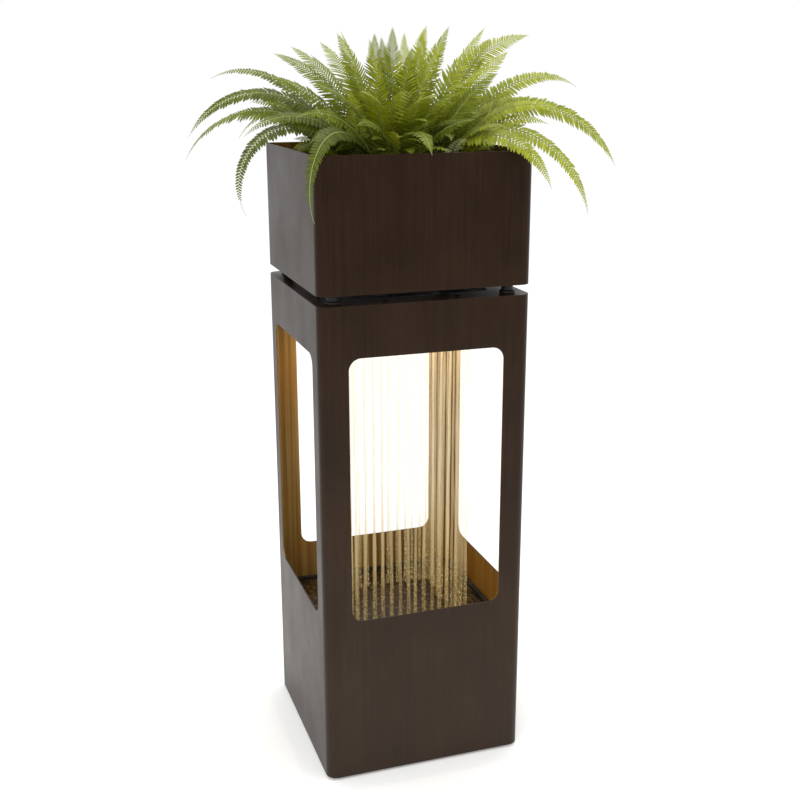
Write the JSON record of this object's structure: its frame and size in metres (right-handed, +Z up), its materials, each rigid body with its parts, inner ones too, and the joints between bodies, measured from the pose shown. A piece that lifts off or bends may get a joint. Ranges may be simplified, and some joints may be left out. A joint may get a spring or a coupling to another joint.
{
  "type": "rain column fountain with planter",
  "caption": "Square sheet-metal tower with a window in each side round a lit curtain of falling water, and a planter box with a fern on standoffs on top.",
  "frame": {"origin": "on the floor under the centre of the tower", "axes": "+Z up, front towards -Y, +X to the right seen from the front"},
  "size_m": [0.6941, 0.5255, 1.2312],
  "materials": {
    "bronze_sheet": "satin",
    "black_basin": "satin",
    "tray_steel": "satin",
    "fastener_steel": "satin",
    "black_rubber": "matte",
    "led_body": "satin",
    "led_board": "satin",
    "led_lens": "satin",
    "black_cable": "satin",
    "grey_pipe": "satin",
    "pump_black": "satin",
    "impeller_white": "satin",
    "dial_orange": "satin",
    "driver_grey": "matte",
    "liner_black": "matte",
    "soil": "matte",
    "fern_stem": "matte",
    "fern_leaf": "satin"
  },
  "bodies": {
    "tower": {"tower_shell": "bronze_sheet", "deck_plate": "bronze_sheet", "base_frame": "bronze_sheet", "foot_pads": "black_rubber", "foot_screws": "fastener_steel", "basin": "black_basin", "basin_ledges": "bronze_sheet", "rain_tray": "tray_steel", "tray_screws": "fastener_steel", "rain_nozzles": "fastener_steel", "led_housings": "led_body", "led_boards": "led_board", "led_lenses": "led_lens", "led_cable": "black_cable", "riser_pipe": "grey_pipe", "riser_clips": "fastener_steel", "tray_inlet": "grey_pipe", "supply_hose": "black_cable", "hose_clamps": "fastener_steel", "pump_housing": "pump_black", "pump_cover": "pump_black", "pump_shaft": "fastener_steel", "suction_cups": "black_rubber", "pump_cable": "black_cable", "cable_gland": "pump_black", "driver_box": "driver_grey", "driver_lid": "driver_grey"},
    "impeller": {"impeller": "impeller_white"},
    "flow_dial": {"flow_dial": "dial_orange"},
    "planter": {"planter_shell": "bronze_sheet", "planter_floor": "bronze_sheet", "standoffs": "black_rubber", "standoff_screws": "fastener_steel"},
    "plant": {"grow_liner": "liner_black", "potting_soil": "soil", "fern_crown": "fern_stem", "fern_fronds_inner": "fern_leaf", "fern_fronds_middle": "fern_leaf", "fern_fronds_outer": "fern_leaf"}
  },
  "joints": [
    {"name": "planter_lift", "type": "slide", "parent": "tower", "child": "planter", "axis": [0, 0, 1], "range_m": [0, 0.25]},
    {"name": "plant_lift", "type": "slide", "parent": "planter", "child": "plant", "axis": [0, 0, 1], "range_m": [0, 0.2]},
    {"name": "impeller_spin", "type": "hinge", "parent": "tower", "child": "impeller", "pos_m": [-0.04, -0.068, 0.112], "axis": [0, 1, 0], "continuous": true},
    {"name": "flow_dial_turn", "type": "hinge", "parent": "tower", "child": "flow_dial", "pos_m": [-0.012, -0.092, 0.15], "axis": [0, 0, 1], "range_deg": [0, 90]}
  ]
}
